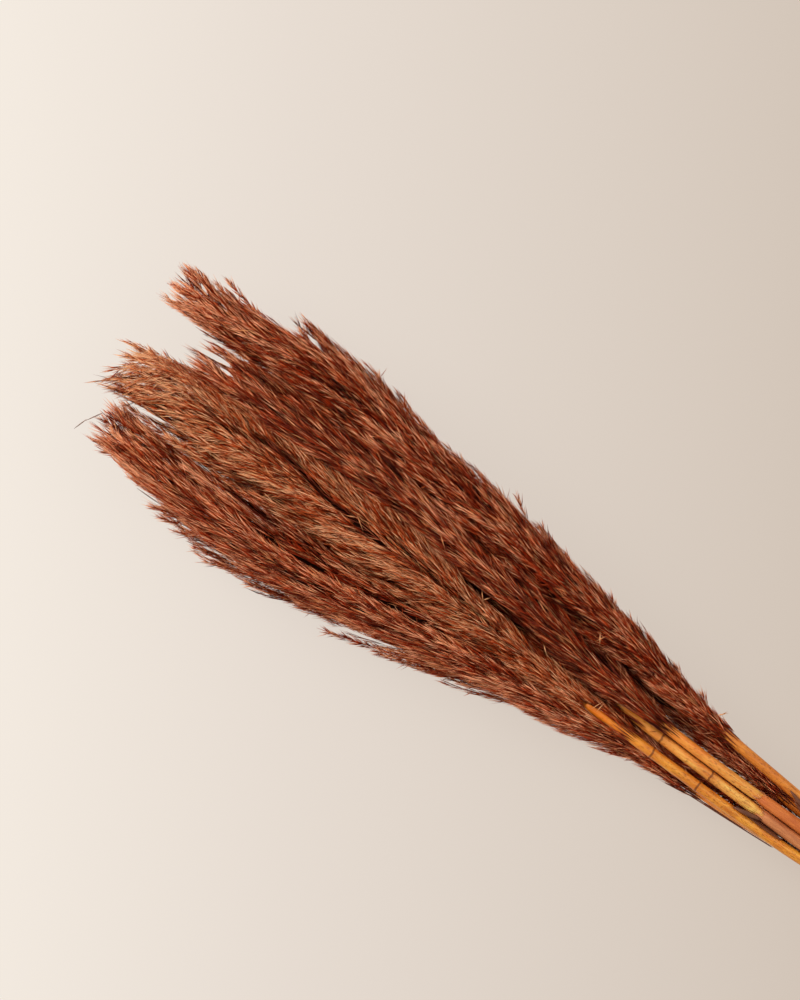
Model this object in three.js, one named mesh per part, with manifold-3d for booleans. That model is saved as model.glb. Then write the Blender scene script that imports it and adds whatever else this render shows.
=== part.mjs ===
// A bundle of seven dried, rust-brown pampas reeds lying on a table, held by an elastic band round the stems.
// Each reed is a ringed culm that ends in a plume; some culms still wear a leaf sheath or a strip of leaf.
// Millimetres, +Z up. X runs along the bundle: the plume tips are at low X and the cut ends at high X.
// The origin is under the middle of the bundle, on the table.

import * as THREE from "three";
import { mergeVertices } from "three/addons/utils/BufferGeometryUtils.js";
import Module from "manifold-3d";

const wasm = await Module();
wasm.setup();

// Driving dimensions
const TIE_X = 250; // where the elastic band holds the culms
const TIE_Y = -4;
const TIE_Z = 17.5;
const TIE_RING = 8.1; // six culms stand at this radius round the seventh
const CUT_RING = 10.4; // they spread a little again at the cut ends
const CUT_TWIST = -10; // degrees that the ring has turned at the cut ends, where two culms lie on the table

const CULM_CUT_RADIUS = 3.6;
const CUT_Z = CULM_CUT_RADIUS + CUT_RING * Math.sin(Math.PI / 3);
const CULM_TOP_RADIUS = 3.3;
const CULM_SIDES = 8;
const CULM_STEP = 30;
const RING_RISE = 0.25; // how far a culm's joint stands proud
const RING_HALF = 0.9;
const JOINT_GAP = 0.3; // clearance between pieces that touch

const RACHIS_TIP_RADIUS = 0.9;
const PLUME_CLEAR = 0.9; // half of the gap that two plumes keep
const CULM_CLEAR = 0.7; // what a plume keeps clear of a culm that passes it
const WIDEST_CULM = 4.2; // a culm's radius with its sheath or a joint
const FLOOR_PRESS = 3.4; // a plume's reach goes this far below the table, where it is then cut flat
const CELL_POWER = 8; // how squarely a plume fills the room that its neighbours leave

const FIRST_SEED = 4;
const CORE_SHARE = 0.52; // the dense middle of a plume, as a share of its reach
const CORE_CROWDED = 0.94; // the same share where a neighbour presses on it
const CORE_SIDES = 8;
const CORE_STEPS = 13;
const CROWDED = 0.62; // no spray grows where a neighbour leaves less than this share of the plume's radius
const SPRAY_EAR = 0.12; // how much past its reach a plume spreads its sprays, where nothing presses on it
const SPRAY_ROW_STEP = 29.5;
const SPRAYS_A_ROW = 5;
const SPRAY_LENGTH = 66;
const SPRAY_HALF_WIDTH = 4.6;
const SPRAY_FLATNESS = 0.5;
const SPRAY_ROOT = 0.34; // shares of the reach at a spray's root, widest place and tip
const SPRAY_MIDDLE = 0.76;
const SPRAY_MIDDLE_AT = 0.5;
const SPRAY_TIP = 1.12;
const SPRAY_TIP_KEPT = 6; // the least that a spray's tip stays short of the plume's

const SHEATH_WALL = 0.65;
const SHEATH_CULM_RADIUS = 2.85; // a culm is slimmer inside its sheath
const SHEATH_END = 214;
const SHEATH_SIDES = 10;
const SHEATH_STEP = 18;

const BAND_TURNS = 3;
const BAND_WIDTH = 2.2; // one turn of the elastic band
const BAND_THICK = 1.2;
const BAND_SIDES = 30;

const STRIP_THICK = 0.7;

const COLOURS = {
  culm: { color: 0xd98a34, roughness: 0.45, metalness: 0 },
  sheath: { color: 0xa8643c, roughness: 0.6, metalness: 0 },
  leaf: { color: 0x6b3f2a, roughness: 0.7, metalness: 0 },
  plume: { color: 0x8a4226, roughness: 0.7, metalness: 0 },
  paleplume: { color: 0xa65a30, roughness: 0.7, metalness: 0 },
  band: { color: 0xc9a878, roughness: 0.55, metalness: 0 },
};

// The reeds. way holds the points [x, y, z] of a reed's own line between the band and the tip of its plume.
// head is where the plume starts, girth its largest radius, and rings are the joints of the culm.
const REEDS = [
  {
    name: "a", around: 190, cut: 371, head: -17, girth: 23, pale: true, rings: [69, 34, 220, 305],
    way: [
      [190, -14.9, 19.4], [132, -17.5, 24.5], [30, -15.8, 36], [-70, -12, 49], [-170, -6, 59],
      [-270, -6.5, 61], [-374, -12, 55],
    ],
  },
  {
    name: "b", around: 130, cut: 366, head: 0, girth: 24, sheath: 106, rings: [72, 218, 296],
    way: [
      [190, -9.2, 25.3], [132, -9, 27], [30, -5, 32], [-70, 2, 20], [-170, 6, 18.5], [-270, 3, 19],
      [-326, -2, 20],
    ],
  },
  {
    name: "c", around: 70, cut: 373, head: 28, girth: 21, sheath: 101, rings: [218, 312],
    way: [
      [190, -1.1, 26.8], [132, -1, 29], [30, 2.2, 38], [-70, 13, 46], [-170, 24, 54], [-270, 22, 57],
      [-334, 20, 53],
    ],
  },
  {
    name: "d", around: 10, cut: 369, head: 58, girth: 22, rings: [180, 290],
    way: [
      [190, 7.3, 21.9], [132, 12.8, 28], [30, 23, 37], [-10, 30, 41], [-70, 34, 47], [-170, 45, 54],
      [-250, 56, 56], [-373, 53, 50],
    ],
  },
  {
    name: "e", around: 310, cut: 364, head: 100, girth: 22, sheath: 142, rings: [119, 218, 300],
    way: [
      [190, 3.6, 13.7], [132, 6.5, 17.5], [30, 18, 18.5], [-10, 26, 17], [-70, 31, 17.5],
      [-170, 44, 18], [-250, 60, 18.5], [-298, 71, 20],
    ],
  },
  {
    name: "f", around: 250, cut: 372, head: 72, girth: 22, rings: [140, 236, 318],
    way: [
      [190, -12.5, 11.4], [132, -17.5, 16.2], [72, -19.2, 18], [30, -17.5, 23], [-10, -21.5, 30],
      [-70, -25, 38], [-170, -39, 48], [-270, -45, 51], [-361, -40, 46],
    ],
  },
  {
    name: "g", around: null, cut: 367, head: 92, girth: 24, sheath: 150, rings: [218, 285],
    way: [
      [190, -5, 17.7], [132, -6, 18], [80, -6, 16.5], [30, -9, 16], [-10, -15, 16.5], [-70, -25, 17.5],
      [-170, -40, 18.5], [-250, -54, 19], [-326, -57, 20],
    ],
  },
];

// Torn strips of leaf, each lying along a reed's culm at one side of it (degrees round the culm) and lifting
// away from it towards its point
const STRIPS = [
  { name: "a", on: "a", from: 131, to: 95, side: 40, lift: 1.2, halfWidth: 1.7 },
  { name: "f", on: "f", from: 131, to: 52, side: 195, lift: 2.4, halfWidth: 0.9 },
];

// A repeatable stream of numbers from 0 to 1
function dice(seed) {
  let state = seed;
  return () => {
    state = (state + 0x6d2b79f5) | 0;
    let mixed = Math.imul(state ^ (state >>> 15), 1 | state);
    mixed = (mixed + Math.imul(mixed ^ (mixed >>> 7), 61 | mixed)) ^ mixed;
    return ((mixed ^ (mixed >>> 14)) >>> 0) / 4294967296;
  };
}

const degrees = THREE.MathUtils.degToRad;

// Where a ring culm stands round the middle of the band or of the cut ends
function ringSpot(reed, x, middleZ, radius, twist) {
  if (reed.around === null) return [x, TIE_Y, middleZ];
  const angle = degrees(reed.around + twist);
  return [x, TIE_Y + radius * Math.cos(angle), middleZ + radius * Math.sin(angle)];
}

// The whole line of a reed, from its cut end to its tip
for (const reed of REEDS) {
  reed.line = [
    ringSpot(reed, reed.cut, CUT_Z, CUT_RING, CUT_TWIST),
    ringSpot(reed, TIE_X, TIE_Z, TIE_RING, 0),
    ...reed.way,
  ];
  reed.tip = reed.way[reed.way.length - 1][0];
}

// The reed's middle [y, z] at a station x, on a smooth cubic through the points of its line
function middle(reed, x) {
  const line = reed.line;
  let k = 0;
  while (k < line.length - 2 && x < line[k + 1][0]) k++;
  const [from, to] = [line[k], line[k + 1]];
  const before = line[Math.max(k - 1, 0)];
  const after = line[Math.min(k + 2, line.length - 1)];
  const span = to[0] - from[0];
  const t = (x - from[0]) / span;
  return [1, 2].map((i) => {
    const slopeFrom = (to[i] - before[i]) / (to[0] - before[0]);
    const slopeTo = (after[i] - from[i]) / (after[0] - from[0]);
    return (
      from[i] * (2 * t ** 3 - 3 * t ** 2 + 1) +
      to[i] * (3 * t ** 2 - 2 * t ** 3) +
      slopeFrom * span * (t ** 3 - 2 * t ** 2 + t) +
      slopeTo * span * (t ** 3 - t ** 2)
    );
  });
}

function smooth(t) {
  const held = Math.min(1, Math.max(0, t));
  return held * held * (3 - 2 * held);
}

// A culm's radius, without its joints: it tapers upwards and is slimmer inside a sheath
function culmRadius(reed, x) {
  const share = (x - reed.head) / (reed.cut - reed.head);
  const bare = CULM_TOP_RADIUS + (CULM_CUT_RADIUS - CULM_TOP_RADIUS) * share;
  if (!reed.sheath) return bare;
  const inside = smooth((x - reed.sheath + 1) / 3) * smooth((SHEATH_END + 3 - x) / 3);
  return bare + (SHEATH_CULM_RADIUS - bare) * inside;
}

// How far a plume would reach from its middle if nothing pressed on it: slim at first, full from the middle of
// its length, and closing to a brush at the tip
function plumeRadius(reed, x) {
  const share = (reed.head - x) / (reed.head - reed.tip);
  const opening = 0.25 + 0.75 * smooth(share / 0.5) ** 0.7;
  const closing = Math.sqrt(Math.max(0.05, 1 - Math.max(0, (share - 0.72) / 0.3) ** 2));
  return Math.max(reed.girth * opening * closing, 3.7);
}

// How far a plume reaches at a station x, in the direction of an angle in the YZ plane: its own radius, cut
// down by the table and by a plane towards each neighbour, and rounded where these meet
function reach(reed, x, angle) {
  const [y, z] = middle(reed, x);
  const own = plumeRadius(reed, x);
  const limits = [own];
  const down = -Math.sin(angle);
  if (down > 0.02) limits.push((z + FLOOR_PRESS) / down);
  for (const other of REEDS) {
    if (other === reed || x < other.tip - 12 || x > other.cut) continue;
    const [otherY, otherZ] = middle(other, Math.max(x, other.tip));
    const apart = Math.hypot(otherY - y, otherZ - z);
    const towards = ((otherY - y) * Math.cos(angle) + (otherZ - z) * Math.sin(angle)) / apart;
    if (towards < 0.02) continue;
    let wall = apart - WIDEST_CULM - CULM_CLEAR;
    if (x < other.head + 6) {
      const theirs = plumeRadius(other, Math.min(Math.max(x, other.tip), other.head));
      wall = Math.min(wall, (apart * own) / (own + theirs) - PLUME_CLEAR);
    }
    limits.push(Math.max(wall, 0.5) / towards);
  }
  return limits.reduce((sum, limit) => sum + limit ** -CELL_POWER, 0) ** (-1 / CELL_POWER);
}

// How freely a plume spreads at a station x in a direction: 1 where nothing presses on it
function freedom(reed, x, angle) {
  return reach(reed, x, angle) / plumeRadius(reed, x);
}

// A closed three.js geometry as a solid
function solid(geometry) {
  const bare = geometry.clone();
  bare.deleteAttribute("normal");
  bare.deleteAttribute("uv");
  const merged = mergeVertices(bare, 1e-4);
  return new wasm.Manifold(
    new wasm.Mesh({
      numProp: 3,
      vertProperties: merged.attributes.position.array,
      triVerts: new Uint32Array(merged.index.array),
    }),
  );
}

// The largest closed surface of a solid: a hollow sealed inside is filled, and a loose scrap is dropped
function largest(made) {
  return made.decompose().reduce((best, piece) => (piece.volume() > best.volume() ? piece : best));
}

// The room above the table
const ABOVE = solid(new THREE.BoxGeometry(1000, 400, 200).translate(0, 0, 100));

function geometryOf(made) {
  const mesh = made.getMesh();
  const geometry = new THREE.BufferGeometry();
  geometry.setAttribute("position", new THREE.BufferAttribute(new Float32Array(mesh.vertProperties), 3));
  geometry.setIndex(new THREE.BufferAttribute(new Uint32Array(mesh.triVerts), 1));
  geometry.computeVertexNormals();
  return geometry;
}

// A lathe turned about Y, each vertex then moved by place(height, radius, angle), which gives [x, y, z]
function turned(profile, sides, place) {
  const geometry = new THREE.LatheGeometry(
    profile.map(([radius, height]) => new THREE.Vector2(radius, height)),
    sides,
  );
  const spots = geometry.attributes.position;
  for (let i = 0; i < spots.count; i++) {
    const [x, height, z] = [spots.getX(i), spots.getY(i), spots.getZ(i)];
    const radius = Math.hypot(x, z);
    spots.setXYZ(i, ...place(height, radius, Math.atan2(z, x)));
  }
  return geometry;
}

// Places a vertex round a reed's line
function onReed(reed) {
  return (x, radius, angle) => {
    const [y, z] = middle(reed, x);
    return [x, y + radius * Math.cos(angle), z + radius * Math.sin(angle)];
  };
}

function mirrored(geometry) {
  const index = geometry.index.array;
  for (let i = 0; i < index.length; i += 3) [index[i], index[i + 1]] = [index[i + 1], index[i]];
  return geometry;
}

// A culm from its head down to its cut end, with a raised ring at each joint
function culmGeometry(reed) {
  const stations = [];
  for (let x = reed.head; x < reed.cut - CULM_STEP / 2; x += CULM_STEP) stations.push([x, 0]);
  for (const ring of reed.rings) {
    stations.push([ring - RING_HALF, 0], [ring, RING_RISE], [ring + RING_HALF, 0]);
  }
  if (reed.sheath) {
    for (const x of [reed.sheath - 1.5, reed.sheath + 2, SHEATH_END, SHEATH_END + 3]) stations.push([x, 0]);
  }
  stations.sort((one, other) => one[0] - other[0]);
  const kept = stations.filter(
    ([x, rise]) => rise || !reed.rings.some((ring) => Math.abs(x - ring) < RING_HALF - 0.01),
  );
  const profile = [[0, reed.head]];
  for (const [x, rise] of kept) profile.push([culmRadius(reed, x) + rise, x]);
  profile.push([CULM_CUT_RADIUS, reed.cut], [0, reed.cut]);
  return mirrored(turned(profile, CULM_SIDES, onReed(reed)));
}

// A leaf sheath wrapped round its culm, with a torn upper rim
function sheathGeometry(reed) {
  const rim = reed.sheath + 4;
  const inner = SHEATH_CULM_RADIUS + JOINT_GAP;
  const torn = (angle) => 2.4 * Math.sin(2 * angle + reed.sheath) + 1.3 * Math.sin(5 * angle);
  const steps = Math.ceil((SHEATH_END - 1 - rim) / SHEATH_STEP);
  const stations = Array.from({ length: steps + 1 }, (_, k) => rim + ((SHEATH_END - 1 - rim) * k) / steps);
  const outside = stations.map((x) => [inner + SHEATH_WALL * (x === rim ? 0.7 : 1), x]);
  const inside = stations.map((x) => [inner, x]).reverse();
  const place = onReed(reed);
  return mirrored(
    turned([inside[steps], ...outside, ...inside], SHEATH_SIDES, (x, radius, angle) =>
      place(x === rim ? x + torn(angle) : x, radius, angle),
    ),
  );
}

// How far the inside of the stretched band stands from the middle of the ring of culms: an arc round each
// culm, and a straight run to the next one
function bandReach(angle) {
  const held = CULM_CUT_RADIUS + JOINT_GAP;
  const sixth = Math.PI / 3;
  const fromCulm = angle - degrees(REEDS[0].around);
  const off = Math.abs(fromCulm - sixth * Math.round(fromCulm / sixth));
  const run = TIE_RING * Math.cos(sixth / 2) + held;
  const fromRun = sixth / 2 - off;
  if (run * Math.tan(fromRun) < TIE_RING * Math.sin(sixth / 2)) return run / Math.cos(fromRun);
  return TIE_RING * Math.cos(off) + Math.sqrt(held ** 2 - (TIE_RING * Math.sin(off)) ** 2);
}

// The elastic band, its turns lying side by side
function bandGeometry() {
  const half = (BAND_TURNS * BAND_WIDTH) / 2;
  const profile = [[TIE_RING, -half]];
  for (let turn = 0; turn < BAND_TURNS; turn++) {
    const start = -half + turn * BAND_WIDTH;
    profile.push([TIE_RING + BAND_THICK * 0.6, start], [TIE_RING + BAND_THICK, start + BAND_WIDTH * 0.3]);
    profile.push([TIE_RING + BAND_THICK, start + BAND_WIDTH * 0.7]);
  }
  profile.push([TIE_RING + BAND_THICK * 0.6, half], [TIE_RING, half], [TIE_RING, -half]);
  return mirrored(
    turned(profile, BAND_SIDES, (along, radius, angle) => {
      const out = bandReach(angle) + radius - TIE_RING;
      return [TIE_X + along, TIE_Y + out * Math.cos(angle), TIE_Z + out * Math.sin(angle)];
    }),
  );
}

// A strip of leaf: a thin blade along its culm, widest near its root and drawn out to a point
function stripGeometry(strip) {
  const reed = REEDS.find((one) => one.name === strip.on);
  const profile = [[0, 0], [0.55, 0.03], [1, 0.2], [0.85, 0.5], [0.55, 0.8], [0, 1]];
  const blade = turned(profile, 6, (along, radius, corner) => {
    const x = strip.from + (strip.to - strip.from) * along;
    const [y, z] = middle(reed, x);
    const angle = degrees(strip.side);
    const thick = (STRIP_THICK / 2) * Math.min(1, radius * 1.8);
    const clear = JOINT_GAP + STRIP_THICK / 2 + strip.lift * along ** 2;
    const out = culmRadius(reed, x) + clear + thick * Math.sin(corner);
    const aside = radius * strip.halfWidth * Math.cos(corner);
    return [
      x,
      y + out * Math.cos(angle) - aside * Math.sin(angle),
      z + out * Math.sin(angle) + aside * Math.cos(angle),
    ];
  });
  return mirrored(blade);
}

// The dense middle of a plume, with its central stalk, filling a share of its reach
function coreGeometry(reed) {
  const start = reed.head - JOINT_GAP;
  const length = start - reed.tip;
  const profile = [[0, start]];
  for (let k = 0; k <= CORE_STEPS; k++) profile.push([1, start - length * 0.93 * (k / CORE_STEPS) ** 1.15]);
  profile.push([0, reed.tip + length * 0.02]);
  return turned(profile, CORE_SIDES, (x, radius, angle) => {
    const [y, z] = middle(reed, x);
    const share = (start - x) / length;
    const stalk = CULM_TOP_RADIUS + (RACHIS_TIP_RADIUS - CULM_TOP_RADIUS) * share;
    const crowded = smooth((0.85 - freedom(reed, x, angle)) / 0.25);
    const dense = CORE_SHARE + (CORE_CROWDED - CORE_SHARE) * crowded;
    const out = radius * Math.max(stalk, dense * reach(reed, x, angle) * smooth(share * 14 + 0.12));
    return [x, y + out * Math.cos(angle), z + out * Math.sin(angle)];
  });
}

// One spray: a three-sided spindle from deep in the core to the plume's surface, leaning towards the tip
function sprayGeometry(reed, root, angle, length, width, lean, fullest) {
  const profile = [[0, 0], [0.55, 0], [1, SPRAY_MIDDLE_AT], [0, 1]];
  const spindle = turned(profile, 3, (along, radius, corner) => {
    const x = root - length * along;
    const share =
      along < SPRAY_MIDDLE_AT
        ? SPRAY_ROOT + (SPRAY_MIDDLE - SPRAY_ROOT) * (along / SPRAY_MIDDLE_AT)
        : SPRAY_MIDDLE + (SPRAY_TIP - SPRAY_MIDDLE) * ((along - SPRAY_MIDDLE_AT) / (1 - SPRAY_MIDDLE_AT));
    const [y, z] = middle(reed, x);
    const turnedBy = angle + lean * along;
    const out = share * reach(reed, x, turnedBy) + radius * width * SPRAY_FLATNESS * Math.sin(corner);
    const aside = radius * width * Math.cos(corner);
    const [dy, dz] = [
      out * Math.cos(turnedBy) - aside * Math.sin(turnedBy),
      out * Math.sin(turnedBy) + aside * Math.cos(turnedBy),
    ];
    const bearing = Math.atan2(dz, dy);
    const ear = SPRAY_EAR * smooth((freedom(reed, x, bearing) - 0.86) / 0.12);
    const held = Math.min(Math.hypot(dy, dz), fullest * (1 + ear) * reach(reed, x, bearing));
    return [x, y + held * Math.cos(bearing), z + held * Math.sin(bearing)];
  });
  return mirrored(spindle);
}

// A plume: rows of sprays round the core, each row turned by half a step, down to a brush at the tip
function plumeSolid(reed, seed) {
  const roll = dice(seed);
  const pieces = [solid(coreGeometry(reed))];
  const longest = reed.head - reed.tip;
  let row = 0;
  const rowStep = (root) => SPRAY_ROW_STEP * (0.75 + 0.25 * smooth((reed.head - root) / 90));
  for (let root = reed.head - 5; root > reed.tip + 26; root -= rowStep(root)) {
    const share = (reed.head - root) / longest;
    const sprays = share < 0.08 ? SPRAYS_A_ROW - 1 : SPRAYS_A_ROW;
    for (let k = 0; k < sprays; k++) {
      const angle = (2 * Math.PI * (k + 0.5 * (row % 2) + 0.3 * (roll() - 0.5))) / sprays;
      const wanted = SPRAY_LENGTH * (0.55 + 0.45 * smooth(share * 4)) * (0.85 + 0.3 * roll());
      const length = Math.min(wanted, root - reed.tip);
      const width = SPRAY_HALF_WIDTH * (0.45 + 0.55 * smooth(share * 3.5)) * (0.85 + 0.3 * roll());
      const lean = 0.18 * (roll() - 0.5);
      const fullest = 0.93 + 0.065 * roll();
      const start = root - 6 * roll();
      if (freedom(reed, root - length / 2, angle) < CROWDED) continue;
      const held = Math.min(length, root - SPRAY_TIP_KEPT - reed.tip);
      pieces.push(solid(sprayGeometry(reed, start, angle, held, width, lean, fullest)));
    }
    row++;
  }
  return largest(pieces.reduce((sum, piece) => sum.add(piece)).intersect(ABOVE));
}

const bundle = new THREE.Group();

function addNode(name, geometry, look) {
  const mesh = new THREE.Mesh(geometry, new THREE.MeshStandardMaterial(COLOURS[look]));
  mesh.name = name;
  bundle.add(mesh);
}

REEDS.forEach((reed, k) => {
  addNode("culm_" + reed.name, culmGeometry(reed), "culm");
  if (reed.sheath) addNode("sheath_" + reed.name, sheathGeometry(reed), "sheath");
  const plume = geometryOf(plumeSolid(reed, FIRST_SEED + k));
  addNode("plume_" + reed.name, plume, reed.pale ? "paleplume" : "plume");
});

addNode("tie_band", bandGeometry(), "band");
for (const strip of STRIPS) addNode("leaf_strip_" + strip.name, stripGeometry(strip), "leaf");

export default bundle;
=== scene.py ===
"""A bundle of seven dried, rust-brown pampas reeds lying on a pale table, held by a rubber band.

Sizes are in millimetres until a piece is made, and then in metres. X runs along the bundle, with the plume
tips at low X, and Z is up. Each reed follows a line of its own: a culm, and above it a plume of branches
that carry spikelets and fine hairs, and that fill the room which the table and the neighbours leave.
"""

import math

import bpy
import numpy as np
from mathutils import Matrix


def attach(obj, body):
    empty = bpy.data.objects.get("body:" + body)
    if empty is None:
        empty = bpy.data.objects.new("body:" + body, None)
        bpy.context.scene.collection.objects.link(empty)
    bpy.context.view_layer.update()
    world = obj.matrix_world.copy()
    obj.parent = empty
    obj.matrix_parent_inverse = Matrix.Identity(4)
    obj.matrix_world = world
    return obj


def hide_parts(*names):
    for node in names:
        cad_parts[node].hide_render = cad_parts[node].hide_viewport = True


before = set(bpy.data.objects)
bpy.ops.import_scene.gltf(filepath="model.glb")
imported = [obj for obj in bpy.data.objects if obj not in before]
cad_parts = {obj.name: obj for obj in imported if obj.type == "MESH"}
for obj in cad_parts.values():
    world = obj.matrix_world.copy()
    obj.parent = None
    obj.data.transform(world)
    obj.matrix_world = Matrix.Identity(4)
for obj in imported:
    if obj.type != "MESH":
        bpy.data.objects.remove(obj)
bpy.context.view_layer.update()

MM = 0.001
TAU = 2 * math.pi

# Where the rubber band holds the culms, and how they stand there and at their cut ends
TIE = np.array([250.0, -4.0, 17.5])
TIE_RING = 8.1
CUT_RING = 10.4
CUT_TWIST = -10
CULM_CUT_RADIUS = 3.6
CUT_Z = CULM_CUT_RADIUS + CUT_RING * math.sin(math.pi / 3)

CULM_TOP_RADIUS = 3.3
CULM_SIDES = 24
JOINT_GAP = 0.3  # between a culm and its plume or its sheath
JOINT_SWELL = 0.3
JOINT_GROOVE = 0.32
RACHIS_TIP_RADIUS = 0.7
PLUME_CLEAR = -2.2  # half of the gap between two plumes: their outer spikelets cross
PARTING = ("a", "c", -140, -25, 4.2)  # two plumes that part between two stations, and by how much more
PARTING_EASE = 30  # the length over which the parting opens and closes
CULM_ROOM = 4.2  # the radius that a culm takes up, with its joints and its sheath
CULM_CLEAR = 0.4
CELL_POWER = 14  # how sharply the walls round a plume's room meet
GRAZING = 0.02  # the cosine up to which a wall counts as beside a direction, not in it
PAST_TIP = 12  # how far past its tip a plume still holds its neighbours off
PAST_HEAD = 6  # how far past its head it does
FOOT_GIRTH = 0.25  # a plume's radius at its foot, as a share of its girth
OPEN_AT = 0.5  # the share of a plume's length at which it is fully open
LEAST_RADIUS = 3.7
PRESSED_REACH = 0.8  # the share of its radius up to which a plume counts as pressed on
FREE_RISE = 0.17  # how much more of its radius sets it free

SHEATH_WALL = 0.65
SHEATH_CULM_RADIUS = 2.85
SHEATH_END = 214
SHEATH_SIDES = 48
RIM_BACK = 4  # how far the middle of a sheath's torn rim lies behind its tip
FIBRES = 26  # at a rim

GOLDEN_TURN = 0.381966  # from one branch to the next, as a share of a full turn
BRANCHES = 430  # in a plume
OUTER_BRANCHES = 0.82  # the share that reach the plume's outside
BRANCH_LENGTH = 66
BRANCH_STEPS = 3
BRANCH_START = 0.5  # the share of the plume's reach at which its dense middle ends and a branch appears
FLARE_FROM = 0.55  # the share of a branch after which it may lean out of the plume as an ear
FLARE = 3.6
BENT_FROM = 110  # how far from the plume's tip its branches begin to bend aside
BENT_OVER = 90  # the way along the plume on which the bend sets in
TWIG_HALF_WIDTH = 0.42
TWIG_TAPER = 0.07  # in half width from one step of a branch to the next
TWIG_FACING = np.array([0.0, 0.3, 1.0])  # the direction that a twig's ridge faces: up, and a little aside
SPIKELETS_A_MM = 1.1  # along a branch
SPIKELET_LENGTH = 13.0
SPIKELET_HALF_WIDTH = 0.25
SPIKELET_TONE = 0.475  # from dark to light
TONE_SPREAD = 0.31
STRAW_SHARE = 0.15  # of the spikelets
FACING = 0.9  # how far a spikelet's flat side may be turned away from the plume's outside
PRESSED_SHARE = 0.2  # of the spikelets, where a branch is pressed on
TUFT = 2.3  # how far a branch's spikelets stand from it
FLAT_TUFT = 0.7  # a tuft's height, as a share of its width
HAIRS_A_MM = 0.2
HAIR_LENGTH = 8.0
HAIR_HALF_WIDTH = 0.22
RUFFLED = 0.06  # the share of spikelets that stand away from the others
TIP_SHORT = 12  # how far short of the plume's tip its last branches end, before their spikelets
SEAM_STEP = 3.2  # between the branches that part to both sides of the line along a plume's top
SEAM_LENGTH = 50
STRAY_SPARE = 40  # a stray branch may stand this far out of its plume
STRAY_CROWD = 1.4  # its spikelets against those of a branch: how many,
STRAY_LENGTH = 0.72  # how long
STRAY_WIDTH = 1.15  # and how wide they are
EAR = [0.9, 1.2, 0.2]  # how far its spikelets stand from it, how many a millimetre has, and their tone
STALK_RINGS = 40
CORE_RINGS = 60
CORE_SIDES = 24
CORE_SHARE = 0.62  # the dense middle of a plume, as a share of its reach

# Curls of leaf and bent awns: where each starts and ends, and its half width
LEAF_BITS = [
    [[131, 9.2, 31.5], [117, 13.8, 34.5], 1.3], [[138, 5.5, 25], [124, 9.5, 27], 1.3],
    [[113, -11.2, 31], [94, -14.6, 32.5], 1.5], [[112, -21.7, 10], [76, -23.5, 10], 0.7],
    [[77, -23.4, 10], [54, -27, 9], 0.5], [[-360, -38, 46], [-366, -48, 45], 0.3],
    [[-366, -47, 45], [-369, -56, 44], 0.3], [[-300, -64, 36], [-317, -64, 38], 0.3],
    [[152, -11, 20.5], [102, -13, 21], 1.5],
]

# Openings among the spikelets, seen from above: x, y, half a length, half a width and the rise of y along
# x. Grooves are open on top, gaps all the way down.
GROOVES = [
    [-190, -4, 21, 1.8, -0.1], [-97, 3.8, 27, 1.4, -0.06], [-61, -1, 26, 1.8, -0.19],
    [-249, -32, 16, 1.5, 0.05], [-262, 4.6, 12, 1.4, 0.09], [-231, 1, 22, 1.5, -0.2],
    [-203, -40.5, 13, 0.9, 0.1], [-291, 41, 12, 1.2, 0], [-196, 36, 9, 1.4, -0.3],
    [-21, 14, 11, 2.6, -0.2], [-36, -1, 8, 2.4, 0],
]
GAPS = [
    [-338, -21.8, 13, 0.8, 0.08], [-324, 28.8, 13, 1.5, 0.1], [-352, 59, 4, 0.7, -0.5],
    [-336, 57, 3.5, 0.6, -0.5], [-279, 71.5, 7, 1.0, -0.2], [-312, 25.5, 5, 0.8, 0],
    [-147, -57.6, 20, 1.2, 0.29], [-4, -15.3, 13, 2.5, 0], [14, -3.4, 15, 1.5, 0.02],
]

# Single spikelets that lie across the others: where each starts and ends
CROSSING = [
    [[-110, 7, 64], [-104, 0, 66]], [[-102, 6, 64], [-106, 0.5, 65]], [[-36, 27, 59], [-31, 19, 61]],
    [[-31, 27, 59], [-35, 20, 61]], [[-322, 49, 71], [-311, 56, 71]], [[-320, 53, 71], [-310, 50, 71]],
    [[-13, -16, 46], [-9, -7, 47]], [[-9, -15, 46], [-8, -7, 46]], [[-60, 1, 62], [-54, -4, 62]],
    [[-203, -4, 82], [-194, 0, 80]], [[-198, 1, 80], [-188, -6, 82]], [[-150, 20, 77], [-141, 13, 76]],
    [[52, 25, 44], [58, 31, 44]], [[54, 26, 44], [57, 31.5, 43]],
]

PALETTE = "OFBake"  # a spikelet's map: across, its tone, and up, its kind and the way along it
KINDS = 5
PLAIN, STRAW, DULL, HAIR, STALK = range(KINDS)

# What holds for a reed whose own facts say nothing else
USUAL = {
    "sheath": None,  # where the leaf sheath's upper end is
    "seam": None,  # the bearing of a line along the top, to both sides of which branches part
    "strays": [],  # branches out of the plume: three points, then what EAR lists
    "ears": [],  # short ones along the outline: x and y of the root and of the tip, and z
    "dense": 1,  # spikelets, against the usual number
    "long": 1,  # their length, against the usual one
    "tone": 0,  # how much lighter or darker they are,
    "paler": 0.16,  # how much more towards the tip
    "foot": -0.04,  # and at the foot
    "shade": 1.4,  # how much darker deep in the plume, as painted shade
    "dull": 0.08,  # the share of dull ones
    "thinned": 0.14,  # the share of branches left out near the tip
    "closes": [0.72, 0.3, 0.22],  # where the plume begins to close, over what length, and its tip's radius
    "bend": [0, 0],  # how far aside the tip's branches lie, and how much more at their ends
}
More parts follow.
